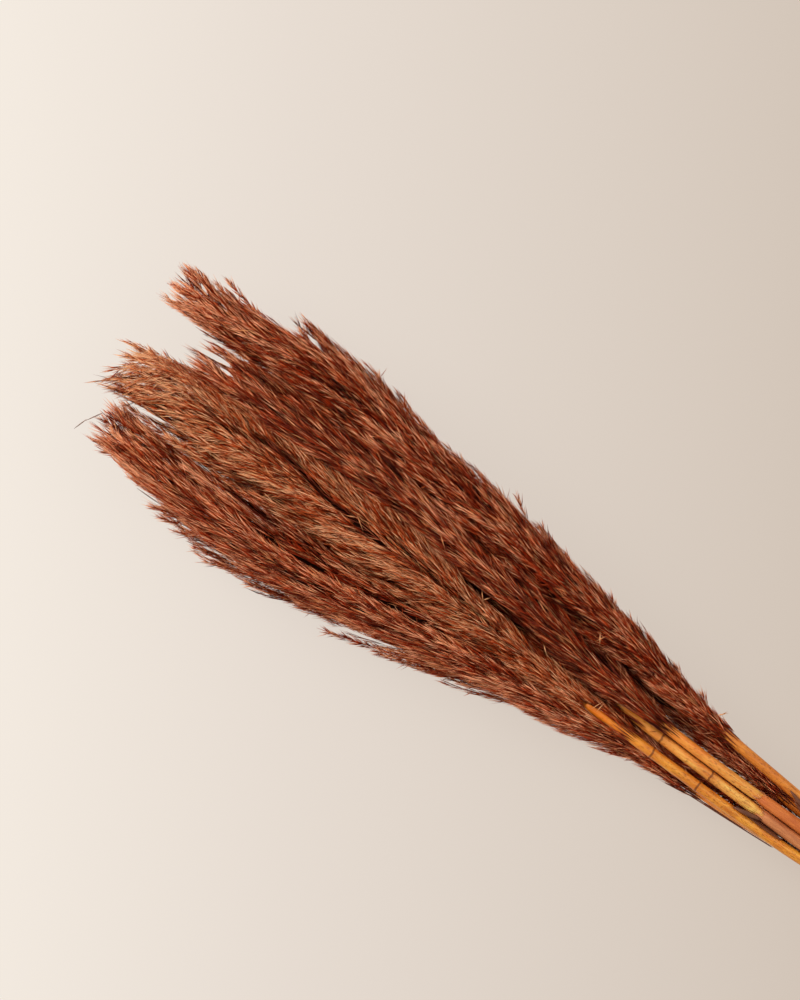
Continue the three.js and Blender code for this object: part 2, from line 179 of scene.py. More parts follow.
# The reeds. Besides the above, each has its culm's bearing in the ring, the x of its cut end and of its
# head, where the plume begins, the plume's girth, which is a radius, the culm's joints, how far the plume's
# foot covers the culm, and the points that its line goes through.
BUNDLE = [
    {
        "name": "a", "around": 190, "cut": 371, "head": -17, "girth": 23, "rings": [69, 34, 220, 305],
        "cover": 44, "seam": 1.35, "parted": 1, "part_turn": 0.8,
        "closes": [0.74, 0.3, 0.7], "bend": [10, -10], "paler": 0.38, "tone": 0.03, "dense": 1.1,
        "strays": [[[-262, -21, 70], [-296, -25, 69], [-330, -28.5, 66], 2.2, 1.8, 0.3]],
        "ears": [[-335, 4, -361, 11, 60], [-322, 8, -352, 13.5, 60], [-312, 9, -341, 14.5, 60]],
        "way": [
            [190, -14.9, 19.4], [132, -17.5, 24.5], [30, -15.8, 36], [-70, -12, 49], [-170, -6, 59],
            [-270, -6.5, 61], [-374, -12, 55],
        ],
    },
    {
        "name": "b", "around": 130, "cut": 366, "head": 0, "girth": 28, "rings": [34, 72, 218, 296],
        "sheath": 106, "cover": 24, "dense": 0.7,
        "strays": [[[-222, -19, 33], [-266, -25, 33], [-320, -27, 36], 4.0, 6.0, -0.3]],
        "way": [
            [190, -9.2, 25.3], [132, -9, 27], [30, -5, 32], [-70, 2, 20], [-170, 6, 18.5], [-270, 3, 19],
            [-326, -2, 20],
        ],
    },
    {
        "name": "c", "around": 70, "cut": 373, "head": 28, "girth": 21, "rings": [218, 312], "sheath": 101,
        "cover": 16, "tone": -0.14, "paler": 0.42, "long": 1.3, "dull": 0.24, "seam": 1.75, "parted": 0.3,
        "part_turn": 0.45, "closes": [0.74, 0.3, 0.5], "thinned": 0, "dense": 1.1,
        "way": [
            [190, -1.1, 26.8], [132, -1, 29], [30, 2.2, 38], [-70, 13, 46], [-170, 24, 54], [-270, 22, 57],
            [-334, 20, 53],
        ],
    },
    {
        "name": "d", "around": 10, "cut": 369, "head": 58, "girth": 20, "rings": [180, 290], "cover": 20,
        "tone": -0.03, "paler": 0.51, "seam": 1.3, "parted": 0.3, "part_turn": 0.4,
        "closes": [0.55, 0.42, 0.6], "bend": [-0.5, 0], "thinned": 0.1, "dense": 1.1,
        "strays": [
            [[-262, 44, 58], [-300, 36.5, 56], [-342, 31, 54], 1.0, 1.4, 0.1],
            [[-306, 62, 56], [-328, 67.5, 57], [-350, 74, 56], 1.2, 1.2, 0.15],
        ],
        "ears": [
            [-170, 55, -194, 68, 52], [-146, 56, -169, 64.5, 50], [-118, 55, -137, 62.5, 47],
            [-105, 53, -126, 66.5, 45], [-84, 49, -103, 60.5, 45], [-64, 45, -81, 54.5, 44],
            [-26, 37, -43, 48.5, 40], [-8, 36, -26, 44.5, 39], [28, 29, 14, 36.5, 36],
            [48, 25, 38, 31.5, 34], [-300, 60, -325, 68, 55], [-336, 57, -365, 66.5, 54],
            [-340, 50, -375, 51, 52], [-290, 42, -338, 38.5, 50], [-318, 60, -353, 67, 55],
            [-326, 58, -361, 63.5, 55],
        ],
        "way": [
            [190, 7.3, 21.9], [132, 12.8, 28], [30, 23, 37], [-10, 30, 41], [-70, 34, 47],
            [-120, 40.5, 50.5], [-170, 44.5, 54], [-250, 54.5, 56], [-320, 52, 54], [-373, 53.5, 50],
        ],
    },
    {
        "name": "e", "around": 310, "cut": 364, "head": 100, "girth": 20.8, "rings": [119, 218, 300],
        "sheath": 142, "cover": 32, "dull": 0.2, "closes": [0.64, 0.4, 0.28], "dense": 0.95,
        "ears": [
            [-268, 65, -294, 74.5, 30], [-262, 66.5, -282, 76.5, 28], [-243, 65, -262, 75.5, 30],
            [-219, 67, -239, 79, 30], [-200, 64, -216, 74.5, 30],
        ],
        "way": [
            [190, 3.6, 13.7], [132, 6.5, 17.5], [30, 18, 18.5], [-10, 26, 17], [-70, 31, 17.5],
            [-120, 38, 17.8], [-170, 42.6, 18], [-205, 50.8, 18.2], [-235, 59.4, 18.4], [-270, 63.6, 19],
            [-298, 69, 20],
        ],
    },
    {
        "name": "f", "around": 250, "cut": 372, "head": 72, "girth": 22, "rings": [140, 236, 318],
        "cover": 8, "long": 1.1, "tone": 0.07, "shade": 0.95, "foot": 0, "seam": 2.0, "parted": 0.3,
        "part_turn": 0.4, "closes": [0.64, 0.38, 0.56], "bend": [-1.5, 0], "thinned": 0, "dense": 1.1,
        "strays": [[[-280, -29, 52], [-322, -27, 52], [-368, -25, 50], 2.0, 2.0, 0.35]],
        "ears": [
            [-330, -38, -362, -36, 46], [-335, -44, -362, -41, 44],
            [-300, -56, -325, -60.5, 40], [-284, -62, -306, -70, 36], [-325, -50, -351, -58.5, 42],
        ],
        "way": [
            [190, -12.5, 11.4], [132, -17.5, 16.2], [72, -19.2, 18], [30, -17.5, 23],
            [-10, -21.5, 30], [-70, -25, 38], [-170, -39, 48], [-270, -45, 51], [-361, -40, 46],
        ],
    },
    {
        "name": "g", "around": None, "cut": 367, "head": 92, "girth": 24, "rings": [218, 285],
        "sheath": 150, "cover": 54, "tone": 0.04, "paler": 0.3, "shade": 1.1, "closes": [0.7, 0.33, 0.35],
        "bend": [1.5, 0], "dense": 0.92,
        "strays": [
            [[-88, -47, 20], [-131, -58.3, 24], [-204, -79, 22], 3.0, 2.4, 0.15],
            [[-84, -46, 18], [-114, -55, 22], [-153, -68, 20], 3.0, 2.0, 0.1],
            # The next two fill the gaps between the culms; their low tone is partly painted shade.
            [[192, -11.6, 16.5], [125, -12.9, 18.5], [50, -11.5, 22], 1.8, 2.2, -0.4],
            [[170, 1, 16.5], [95, 4, 19], [5, 10, 24], 2.0, 2.0, -0.4],
        ],
        "ears": [
            [-280, -66, -299, -72.5, 24], [-250, -68, -271, -76, 22], [-240, -70, -261, -79, 22],
            [-264, -66, -287, -74.5, 23], [-230, -68, -253, -76, 22], [-222, -66, -244, -73, 22],
            [-212, -66, -231, -75, 22], [-178, -58, -195, -67.5, 22], [-24, -31, -37, -38.5, 20],
        ],
        "way": [
            [190, -5, 17.7], [132, -6, 18], [80, -6, 16.5], [30, -9, 16], [-10, -15, 16.5],
            [-70, -25, 17.5], [-170, -40, 18.5], [-250, -54, 19], [-307, -56, 20],
        ],
    },
]


def smooth(t):
    """An S-shaped rise from 0 to 1, as t goes from 0 to 1."""
    held = np.clip(t, 0, 1)
    return held * held * (3 - 2 * held)


def unit(vectors):
    """Each vector at length 1."""
    return vectors / np.maximum(np.linalg.norm(vectors, axis=-1, keepdims=True), 1e-9)


class Reed:
    """One reed of the bundle: its line, its culm's radius and the reach of its plume."""

    def __init__(self, facts):
        vars(self).update({**USUAL, **facts})
        self.strays = self.strays + [
            [[x, y, z], [(x + tip_x) / 2, (y + tip_y) / 2, z], [tip_x, tip_y, z], *EAR]
            for x, y, tip_x, tip_y, z in self.ears
        ]
        cut = self.ring_spot(self.cut, CUT_Z, CUT_RING, CUT_TWIST)
        tie = self.ring_spot(TIE[0], TIE[2], TIE_RING, 0)
        self.line = np.array([cut, tie] + self.way, float)
        self.tip = self.line[-1, 0]

    def ring_spot(self, x, middle_z, radius, twist):
        """A culm's place in the ring of six round the seventh: the middle plus the radius at its angle."""
        if self.around is None:
            return [x, TIE[1], middle_z]
        angle = math.radians(self.around + twist)
        return [x, TIE[1] + radius * math.cos(angle), middle_z + radius * math.sin(angle)]

    def middle(self, x):
        """The reed's y and z at stations x: cubics through the points of its line, whose slope at a point
        is that from the point before it to the point after it."""
        line = self.line
        x = np.asarray(x, float)
        k = np.clip(np.searchsorted(-line[:, 0], -x, side="right") - 1, 0, len(line) - 2)
        before = line[np.maximum(k - 1, 0)]
        start = line[k]
        end = line[k + 1]
        after = line[np.minimum(k + 2, len(line) - 1)]
        span = end[..., :1] - start[..., :1]
        t = (x[..., None] - start[..., :1]) / span
        slope_start = (end - before)[..., 1:] / (end - before)[..., :1]
        slope_end = (after - start)[..., 1:] / (after - start)[..., :1]
        return (
            start[..., 1:] * (2 * t**3 - 3 * t**2 + 1)
            + end[..., 1:] * (3 * t**2 - 2 * t**3)
            + slope_start * span * (t**3 - 2 * t**2 + t)
            + slope_end * span * (t**3 - t**2)
        )

    def culm_radius(self, x):
        """A straight taper from the cut end up, slimmer inside a sheath."""
        share = (x - self.head) / (self.cut - self.head)
        bare = CULM_TOP_RADIUS + (CULM_CUT_RADIUS - CULM_TOP_RADIUS) * share
        if not self.sheath:
            return bare
        inside = smooth((x - self.sheath + 1) / 3) * smooth((SHEATH_END + 3 - x) / 3)
        return bare + (SHEATH_CULM_RADIUS - bare) * inside

    def plume_radius(self, x):
        """How far the plume would reach if nothing pressed on it: it opens along its first half, and closes
        along an arc of a circle to a brush at the tip."""
        share = (self.head - x) / (self.head - self.tip)
        opening = FOOT_GIRTH + (1 - FOOT_GIRTH) * smooth(share / OPEN_AT) ** 0.7
        start, length, least = self.closes
        closing = np.sqrt(np.maximum(least**2, 1 - np.maximum(0, (share - start) / length) ** 2))
        return np.maximum(self.girth * opening * closing, LEAST_RADIUS)

    def parting(self, other, x):
        """How much wider the gap to another plume is, where the two stand apart."""
        one, two, low, high, wider = PARTING
        if {self.name, other.name} != {one, two}:
            return 0
        return wider * smooth((x - low) / PARTING_EASE) * smooth((high - x) / PARTING_EASE)

    def reach(self, x, angle):
        """How far the plume reaches at stations x in directions angle: its own radius, the table and a
        plane towards each neighbour, joined by a soft minimum, which is the sum of their powers of
        -CELL_POWER, to the power of -1 / CELL_POWER."""
        here = self.middle(x)
        own = self.plume_radius(x)
        total = own**-CELL_POWER
        down = -np.sin(angle)
        floor = here[..., 1] / np.maximum(down, GRAZING)
        total = total + np.where(down > GRAZING, floor**-CELL_POWER, 0)
        for other in reeds:
            if other is self:
                continue
            there = other.middle(np.maximum(x, other.tip)) - here
            apart = np.linalg.norm(there, axis=-1)
            towards = (there[..., 0] * np.cos(angle) + there[..., 1] * np.sin(angle)) / apart
            culm_wall = apart - CULM_ROOM - CULM_CLEAR
            theirs = other.plume_radius(np.clip(x, other.tip, other.head))
            clear = PLUME_CLEAR + self.parting(other, x)
            plume_wall = np.minimum(culm_wall, apart * own / (own + theirs) - clear)
            wall = np.where(x < other.head + PAST_HEAD, plume_wall, culm_wall)
            limit = np.maximum(wall, 0.5) / np.maximum(towards, GRAZING)
            near = (towards > GRAZING) & (x > other.tip - PAST_TIP) & (x < other.cut)
            total = total + np.where(near, limit**-CELL_POWER, 0)
        return total ** (-1 / CELL_POWER)


reeds = [Reed(facts) for facts in BUNDLE]


def new_piece(name, vertices, faces, finish, replaced, uv=None):
    """A mesh object from whole arrays, in metres, riding on the bundle in place of its CAD node. faces
    holds equal rows of corners, and uv one place for each vertex."""
    mesh = bpy.data.meshes.new(name)
    corners = faces.shape[1]
    mesh.vertices.add(len(vertices))
    mesh.vertices.foreach_set("co", (vertices * MM).astype(np.float32).ravel())
    mesh.loops.add(faces.size)
    mesh.loops.foreach_set("vertex_index", faces.astype(np.int32).ravel())
    mesh.polygons.add(len(faces))
    mesh.polygons.foreach_set("loop_start", np.arange(0, faces.size, corners, dtype=np.int32))
    mesh.polygons.foreach_set("use_smooth", np.ones(len(faces), bool))
    if uv is not None:
        layer = mesh.uv_layers.new(name=PALETTE)
        layer.data.foreach_set("uv", uv[faces.ravel()].astype(np.float32).ravel())
    mesh.update(calc_edges=True)
    mesh.validate()
    piece = bpy.data.objects.new(name, mesh)
    bpy.context.scene.collection.objects.link(piece)
    mesh.materials.append(finish)
    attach(piece, "root")
    if replaced:
        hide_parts(replaced)
    return piece


class Growth:
    """Gathers closed shapes into one mesh: their vertices, triangles and places on the palette."""

    def __init__(self):
        self.vertices = []
        self.faces = []
        self.places = []
        self.count = 0

    def add(self, corners, triangles, places):
        """corners is shapes by vertices by 3, triangles indexes one shape's vertices."""
        shapes, each = corners.shape[:2]
        starts = self.count + each * np.arange(shapes)
        self.vertices.append(corners.reshape(-1, 3))
        self.faces.append((starts[:, None, None] + triangles[None]).reshape(-1, 3))
        self.places.append(places.reshape(-1, 2))
        self.count += shapes * each

    def piece(self, name, finish, replaced, slot, mapped=True):
        return new_piece(
            name, np.concatenate(self.vertices), np.concatenate(self.faces), finish, replaced,
            np.concatenate(self.places) if mapped else None,
        )


def palette_places(tone, kind, along, aside):
    """Where a vertex lies on the palette: its tone across, and its kind and way along its spikelet up.
    aside gives each shape a little width there."""
    u = 0.02 + 0.96 * np.clip(tone, 0, 1)[:, None] + aside[None] * 0.004
    v = (kind[:, None] + 0.04 + 0.92 * along[None]) / KINDS
    return np.stack([u, v], axis=-1)


SPINDLE_SWELL = 0.42
SPINDLE_FLAT = 0.55
BLADE_SWELL = 0.38
BLADE_BULGE = 0.8
SPINDLE_FACES = np.array([[1, 2, 4], [2, 3, 4], [3, 1, 4], [2, 1, 0], [3, 2, 0], [1, 3, 0]])
BLADE_FACES = np.array([[0, 1, 2], [3, 2, 1], [0, 3, 1], [0, 2, 3]])


def cross_frame(along, outward):
    """Two directions across along: the second is as near to outward as it can be."""
    up = unit(outward - along * np.sum(outward * along, axis=-1, keepdims=True))
    return np.cross(up, along), up


def add_spindles(growth, root, tip, half_width, outward, tone, kind):
    """Closed three-sided spindles from root to tip. At the share SPINDLE_SWELL of its length a spindle's
    three corners stand half_width from its middle, a third of a turn apart, flattened towards outward."""
    aside, up = cross_frame(unit(tip - root), outward)
    middle = root + (tip - root) * SPINDLE_SWELL
    corners = [root]
    for angle in (0.25, 0.25 + 1 / 3, 0.25 + 2 / 3):
        turn = TAU * angle
        across = math.cos(turn) * aside + SPINDLE_FLAT * math.sin(turn) * up
        corners.append(middle + half_width[:, None] * across)
    corners.append(tip)
    along = np.array([0, SPINDLE_SWELL, SPINDLE_SWELL, SPINDLE_SWELL, 1.0])
    width = np.array([0, 0, -1, 1, 0.0])
    growth.add(np.stack(corners, axis=1), SPINDLE_FACES, palette_places(tone, kind, along, width))


def add_blades(growth, root, tip, half_width, outward, tone, kind):
    """Closed lance-shaped blades of four triangles. At the share BLADE_SWELL of its length a blade's two
    edges stand half_width from its middle, which bulges there towards outward by BLADE_BULGE of that."""
    aside, up = cross_frame(unit(tip - root), outward)
    middle = root + (tip - root) * BLADE_SWELL + BLADE_BULGE * half_width[:, None] * up
    edge = half_width[:, None] * aside
    along = np.array([0, BLADE_SWELL, BLADE_SWELL, 1.0])
    width = np.array([0, -1, 1, 0.0])
    corners = np.stack([root, middle - edge, middle + edge, tip], axis=1)
    growth.add(corners, BLADE_FACES, palette_places(tone, kind, along, width))


def lathe_faces(rings, sides):
    """The triangles of a closed surface made of a point, rings of corners and a second point."""
    ring = 1 + np.arange(sides)
    after = 1 + (np.arange(sides) + 1) % sides
    faces = [np.stack([np.zeros_like(ring), after, ring], axis=1)]
    for k in range(rings - 1):
        low, high = ring + k * sides, after + k * sides
        faces.append(np.stack([low, high, high + sides], axis=1))
        faces.append(np.stack([low, high + sides, low + sides], axis=1))
    last = (rings - 1) * sides
    faces.append(np.stack([last + ring, last + after, np.full(sides, 1 + rings * sides)], axis=1))
    return np.concatenate(faces)


def tube(path, radii, sides, along=None):
    """A closed tube: rings of corners round the path, and a point at either end. along gives the rings'
    directions where rings share a place. Gives its vertices and triangles."""
    along = unit(np.gradient(path, axis=0)) if along is None else along
    aside, up = cross_frame(along, np.array([0.0, 0.0, 1.0]))
    angle = TAU * np.arange(sides) / sides
    around = np.cos(angle)[None, :, None] * aside[:, None] + np.sin(angle)[None, :, None] * up[:, None]
    rings = path[:, None] + radii[:, None, None] * around
    return np.concatenate([path[:1], rings.reshape(-1, 3), path[-1:]]), lathe_faces(len(path), sides)


def freedom(reed, station, reach):
    """1 where nothing presses on the plume, and 0 where something takes a fifth of its radius or more."""
    return smooth((reach / reed.plume_radius(station) - PRESSED_REACH) / FREE_RISE)


def held_in(reed, points, spare, pressed_spare):
    """Points pulled back to the plume's room: no further from the reed's middle than its reach plus spare,
    or plus pressed_spare where something presses on the plume, and never into the table."""
    x = points[:, 0]
    station = np.maximum(x, reed.tip)
    here = reed.middle(station)
    off = points[:, 1:] - here
    angle = np.arctan2(off[:, 1], off[:, 0])
    far = np.linalg.norm(off, axis=1)
    reach = reed.reach(station, angle)
    free = freedom(reed, station, reach)
    most = reach + spare * free + pressed_spare * (1 - free)
    held = points.copy()
    held[:, 1:] = here + off * (np.minimum(far, most) / np.maximum(far, 1e-6))[:, None]
    held[:, 2] = np.maximum(held[:, 2], 0.5)
    return held


def branch_spots(reed, branches, t):
    """Spots on branches at shares t of their length. A branch rises from its start to its height, both
    shares of the plume's reach, by 1 - (1 - t)^1.7, and its end leans out by its flare where nothing
    presses. Near the plume's tip it is moved aside by the reed's bend."""
    x = branches["root"] - branches["length"] * t
    station = np.maximum(x, reed.tip)
    bearing = branches["angle"] + branches["drift"] * t
    rise = 1 - np.clip(1 - t, 0, 1) ** 1.7
    share = branches["start"] + (branches["height"] - branches["start"]) * rise
    reach = reed.reach(station, bearing)
    lean = np.maximum(t - FLARE_FROM, 0) / (1 - FLARE_FROM)
    out = share * reach + branches["flare"] * lean**1.6 * freedom(reed, station, reach)
    middle = reed.middle(station)
    bend, more = reed.bend
    swept = (bend + more * (t - 0.5)) * smooth((reed.tip + BENT_FROM - x) / BENT_OVER)
    y = middle[..., 0] + out * np.cos(bearing) + swept
    return np.stack([x, y, middle[..., 1] + out * np.sin(bearing)], axis=-1)


def grown_branches(reed, dice):
    """The branches of a plume: those all round its middle, those that part to both sides of the line along
    its top, and those of its loose foot, which lie over the culm."""
    plume = reed.head - reed.tip
    share = 0.95 * ((np.arange(BRANCHES) + dice.uniform(0, 1, BRANCHES)) / BRANCHES) ** 1.04
    outer = dice.uniform(0, 1, BRANCHES) < OUTER_BRANCHES
    groups = [{
        "root": reed.head - 2 - share * plume,
        "length": BRANCH_LENGTH * (0.5 + 0.5 * smooth(share * 4)) * dice.uniform(0.7, 1.2, BRANCHES),
        "angle": TAU * (GOLDEN_TURN * np.arange(BRANCHES) + dice.uniform(-0.04, 0.04, BRANCHES)),
        "drift": dice.uniform(-0.22, 0.22, BRANCHES),
        "start": BRANCH_START * smooth(share * 8) * smooth((0.85 - share) * 6),
        "height": np.where(outer, dice.uniform(0.84, 0.98, BRANCHES), dice.uniform(0.66, 0.8, BRANCHES)),
        "flare": np.where(outer, FLARE * dice.uniform(0, 1, BRANCHES) ** 1.3, 0),
    }]
    if reed.seam:
        root = np.arange(reed.tip + 30, reed.head - 25, SEAM_STEP / reed.parted)
        count = len(root)
        side = np.where(np.arange(count) % 2, 1, -1)
        groups.append({
            "root": root + dice.uniform(-2, 2, count),
            "length": SEAM_LENGTH * dice.uniform(0.7, 1.2, count),
            "angle": reed.seam + side * 0.05,
            "drift": side * reed.part_turn * dice.uniform(0.6, 1.2, count),
            "start": np.full(count, 0.88),
            "height": dice.uniform(0.97, 1.03, count),
            "flare": dice.uniform(0, 2, count),
        })
    count = int(reed.cover * 2) + 8
    groups.append({
        "root": reed.head + reed.cover * (1.2 * dice.uniform(0, 1, count) ** 0.7 - 0.2),
        "length": dice.uniform(38, 62, count),
        "angle": TAU * GOLDEN_TURN * np.arange(count),
        "drift": dice.uniform(-0.5, 0.5, count),
        "start": np.full(count, 0.7),
        "height": dice.uniform(0.75, 0.95, count),
        "flare": dice.uniform(0, 1.2, count),
    })
    branches = {key: np.concatenate([group[key] for group in groups]) for key in groups[0]}
    crowded = smooth((reed.tip + 120 - branches["root"]) / 50) * reed.thinned
    kept = dice.uniform(0, 1, len(crowded)) > crowded
    branches = {key: values[kept] for key, values in branches.items()}
    total = len(branches["root"])
    longest = branches["root"] - reed.tip + dice.uniform(-22, 5, total) - TIP_SHORT
    branches["length"] = np.minimum(branches["length"], np.maximum(longest, 14))
    paler = reed.paler * smooth((reed.tip + 130 - branches["root"]) / 90)
    foot = reed.foot * smooth((branches["root"] - reed.head + 100) / 70)
    branches["tone"] = dice.normal(0.03, 0.19, total) + reed.tone + paler + foot
    branches["shade"] = np.full(total, reed.shade)
    branches["tuft"] = TUFT * (1 - 0.65 * smooth((reed.tip + 110 - branches["root"]) / 60))
    station = np.maximum(branches["root"] - 0.6 * branches["length"], reed.tip)
    reach = reed.reach(station, branches["angle"] + 0.6 * branches["drift"])
    branches["free"] = freedom(reed, station, reach)
    return branches


def painted_shade_core(reed):
    """The dense middle of a plume, out of which the branches come, darkened as painted shade: rings of
    corners at a share of the plume's reach, with low waves round it and along it. Gives its vertices and
    triangles."""
    stations = np.linspace(reed.head - 4, reed.tip + 0.2 * (reed.head - reed.tip), CORE_RINGS)
    share = (reed.head - stations) / (reed.head - reed.tip)
    path = np.column_stack([stations, reed.middle(stations)])
    angle = TAU * np.arange(CORE_SIDES) / CORE_SIDES
    fullness = smooth(share * 9) * smooth((0.84 - share) * 4)
    lumps = 1 + 0.06 * np.sin(5 * angle[None] + stations[:, None] * 0.31) * np.sin(stations[:, None] * 0.17)
    reach = reed.reach(stations[:, None], angle[None])
    radii = np.maximum(CORE_SHARE * fullness[:, None] * lumps * reach, 0.6)
    rings = np.concatenate([
        np.broadcast_to(stations[:, None, None], (CORE_RINGS, CORE_SIDES, 1)),
        path[:, None, 1:] + radii[..., None] * np.stack([np.cos(angle), np.sin(angle)], axis=-1)[None],
    ], axis=-1)
    rings[..., 2] = np.maximum(rings[..., 2], 0.8)
    return np.concatenate([path[:1], rings.reshape(-1, 3), path[-1:]]), lathe_faces(CORE_RINGS, CORE_SIDES)


def stray_spots(stray, t):
    """Spots on a stray branch, at shares t of its length, on the curve that its three points draw."""
    root, middle, tip = (np.array(point, float) for point in stray)
    t = np.asarray(t)[:, None]
    through = 2 * middle - (root + tip) / 2
    return root * (1 - t) ** 2 + 2 * through * t * (1 - t) + tip * t**2


def in_openings(points, openings):
    """Whether each point lies in one of the openings, which are ellipses seen from above."""
    inside = np.zeros(len(points), bool)
    for x, y, half_length, half_width, slope in openings:
        run = points[:, 0] - x
        across = points[:, 1] - y - slope * run
        inside |= (run / half_length) ** 2 + (across / half_width) ** 2 < 1
    return inside


class Tufts:
    """Grows spikelets or hairs along branches. spots gives places on branches at shares of their length."""

    def __init__(self, reed, dice, branches, spots):
        self.reed = reed
        self.dice = dice
        self.branches = branches
        self.spots = spots

    def grow(self, number_a_mm, opening, grown, half_width, kinds, spare, pressed_spare=2.5):
        """Roots, tips and looks of spikelets: each starts at a spot on its branch and a step aside within
        the tuft, and heads along the branch, opening away from it."""
        reed, dice, branches = self.reed, self.dice, self.branches
        crowd = reed.dense * number_a_mm * (PRESSED_SHARE + (1 - PRESSED_SHARE) * branches["free"])
        number = np.maximum(np.round(crowd * branches["length"]), 4).astype(int)
        branch = np.repeat(np.arange(len(number)), number)
        count = len(branch)
        order = np.arange(count) - np.repeat(np.cumsum(number) - number, number)
        t = 0.1 + 0.9 * ((order + dice.uniform(0, 1, count)) / number[branch]) ** 0.85
        carrying = {key: values[branch] for key, values in branches.items()}
        spot = self.spots(carrying, t)
        along = unit(self.spots(carrying, t + 0.04) - spot)
        station = np.maximum(spot[:, 0], reed.tip)
        middle = reed.middle(station)
        outward = np.column_stack([np.zeros(count), spot[:, 1:] - middle])
        aside, up = cross_frame(along, unit(outward + 1e-3))
        turn = dice.uniform(0, TAU, count)
        share_off = np.sqrt(dice.uniform(0, 1, count))
        step = np.cos(turn)[:, None] * aside + FLAT_TUFT * np.sin(turn)[:, None] * up
        off = share_off * carrying["tuft"] * (1.02 - t) ** 0.5
        start = held_in(reed, spot + off[:, None] * step, spare, pressed_spare - 1.9)
        ruffled = (dice.uniform(0, 1, count) < RUFFLED).astype(float)
        lean = step * ((1 + 1.6 * ruffled) * opening / reed.long * (0.3 + share_off))[:, None]
        heading = unit(along + lean + (0.025 + 0.15 * ruffled)[:, None] * dice.normal(0, 1, (count, 3)))
        long = grown * reed.long * dice.uniform(0.65, 1.2, count) * (1.1 - 0.3 * t)
        end = held_in(reed, start + long[:, None] * heading, spare, pressed_spare)
        deep = 1 - np.linalg.norm(start[:, 1:] - middle, axis=1) / reed.plume_radius(station)
        tone = SPIKELET_TONE + carrying["tone"] + dice.normal(0, TONE_SPREAD, count)
        # Painted shade: the deeper a spikelet starts in the plume, the darker its tone.
        tone = tone - carrying["shade"] * np.clip(deep - 0.06, 0, 0.5)
        tone = tone + 0.2 * (t - 0.6)
        kind = dice.choice(len(kinds), count, p=kinds)
        over = start[:, 2] > middle[:, 1] + 0.3 * reed.plume_radius(station)
        out = np.zeros(count, bool)
        for share in np.linspace(0, 1, 5):
            spots = start + share * (end - start)
            out |= in_openings(spots, GAPS) | (over & in_openings(spots, GROOVES))
        facing = unit(outward + 1e-3) + dice.normal(0, FACING, (count, 3))
        grown = (start, end, half_width * dice.uniform(0.65, 1.3, count), facing, tone, kind)
        return [values[~out] for values in grown]


def grow_plume(reed, seed, finish, slot):
    """A plume: its stalk, its dense middle, darkened as painted shade, and its branches. Each branch
    carries a tuft of spikelets, which narrows to a point at the branch's tip, and fine hairs among them."""
    dice = np.random.default_rng(seed)
    growth = Growth()
    branches = grown_branches(reed, dice)

    stations = np.linspace(reed.head - JOINT_GAP, reed.tip + 25, STALK_RINGS)
    stalk = np.column_stack([stations, reed.middle(stations)])
    taper = np.linspace(1, 0, STALK_RINGS) ** 1.6
    radii = RACHIS_TIP_RADIUS + (CULM_TOP_RADIUS - RACHIS_TIP_RADIUS) * taper
    # The dense middle takes the darkest tone on the palette: painted shade.
    middles = (tube(stalk, radii, 8), 0.5, STALK), (painted_shade_core(reed), 0.0, PLAIN)
    for (vertices, faces), tone, kind in middles:
        along = np.linspace(0, 0.15, len(vertices))
        aside = np.tile([-1.0, 1.0], len(vertices))[: len(vertices)]
        growth.add(vertices[None], faces, palette_places(np.full(1, tone), np.full(1, kind), along, aside))

    columns = {key: values[:, None] for key, values in branches.items()}
    paths = branch_spots(reed, columns, np.linspace(0, 0.92, BRANCH_STEPS + 1)[None])
    paths[..., 2] = np.maximum(paths[..., 2], 0.6)
    for k in range(BRANCH_STEPS):
        kept = ~(in_openings(paths[:, k], GAPS) | in_openings((paths[:, k] + paths[:, k + 1]) / 2, GAPS))
        first, second = paths[kept, k], paths[kept, k + 1]
        half_width = np.full(len(first), TWIG_HALF_WIDTH - TWIG_TAPER * k)
        add_spindles(growth, first, second + 0.15 * (second - first), half_width, TWIG_FACING,
                     0.3 + branches["tone"][kept], np.full(len(first), DULL))
    tufts = Tufts(reed, dice, branches, lambda carrying, t: branch_spots(reed, carrying, t))
    add_blades(growth, *tufts.grow(SPIKELETS_A_MM, 0.15, SPIKELET_LENGTH, SPIKELET_HALF_WIDTH,
                                    [1 - STRAW_SHARE - reed.dull, STRAW_SHARE, reed.dull], 3.2))
    add_blades(growth, *tufts.grow(HAIRS_A_MM, 0.5, HAIR_LENGTH, HAIR_HALF_WIDTH, [0, 0, 0, 1], 4.6))
    for *points, tuft, number_a_mm, tone in reed.strays:
        length = math.dist(points[0], points[2])
        branch = {"length": length, "tone": tone, "tuft": tuft, "free": 1.0, "shade": 0.0}
        branch = {key: np.array([value]) for key, value in branch.items()}
        path = stray_spots(points, np.linspace(0, 0.84, 9))
        add_spindles(growth, path[:-1], path[1:] + 0.1 * np.diff(path, axis=0), np.full(8, 0.4),
                     TWIG_FACING, np.full(8, 0.4 + tone), np.full(8, PLAIN))
        tufts = Tufts(reed, dice, branch, lambda carrying, t, points=points: stray_spots(points, 0.8 * t))
        add_blades(growth, *tufts.grow(STRAY_CROWD * number_a_mm, 0.4, STRAY_LENGTH * SPIKELET_LENGTH,
                                       STRAY_WIDTH * SPIKELET_HALF_WIDTH, [0.85, 0.1, 0.05],
                                       STRAY_SPARE, STRAY_SPARE))
    if reed.name == "a":
        ends = np.array(CROSSING, float)
        count = len(ends)
        add_spindles(growth, ends[:, 0], ends[:, 1], np.full(count, TWIG_HALF_WIDTH), TWIG_FACING,
                     dice.uniform(0.6, 0.95, count), np.full(count, STRAW))
    return growth.piece("plume_" + reed.name + "_spikelets", finish, "plume_" + reed.name, slot)


